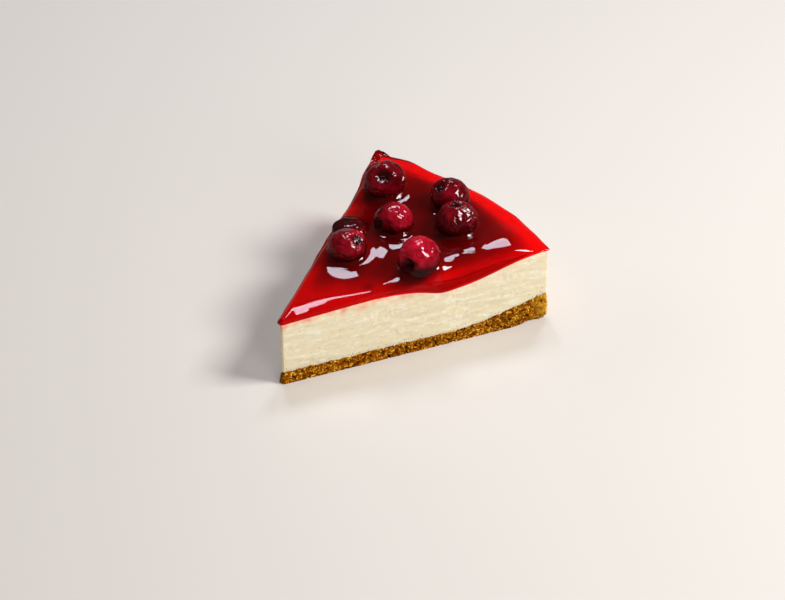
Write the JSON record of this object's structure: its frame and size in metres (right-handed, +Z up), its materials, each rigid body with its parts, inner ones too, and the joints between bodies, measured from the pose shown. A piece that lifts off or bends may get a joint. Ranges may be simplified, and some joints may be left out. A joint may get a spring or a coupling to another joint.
{
  "type": "cheesecake slice",
  "caption": "Wedge of cheesecake cut from a round cake, with a crumb base, a pale set filling and a glossy red glaze holding stoned cherries.",
  "frame": {"origin": "middle of the footprint's box, on the surface that the crumb base rests on", "axes": "+X along the slice's middle line from its tip to its rim, +Y towards the cut that the picture hides, +Z up"},
  "size_m": [0.116, 0.1, 0.0502],
  "materials": {
    "crumb": "rough crumb",
    "filling": "satin, faintly smeared by the knife",
    "glaze": "wet gloss",
    "cherry": "wet gloss"
  },
  "bodies": {
    "root": {"crumb_base": "crumb", "cheese_filling": "filling", "cherry_glaze": "glaze", "cherry_back_left": "cherry", "cherry_centre": "cherry", "cherry_back_right": "cherry", "cherry_torn": "cherry", "cherry_front": "cherry", "cherry_pitted": "cherry", "cherry_sunk": "cherry"}
  },
  "joints": []
}
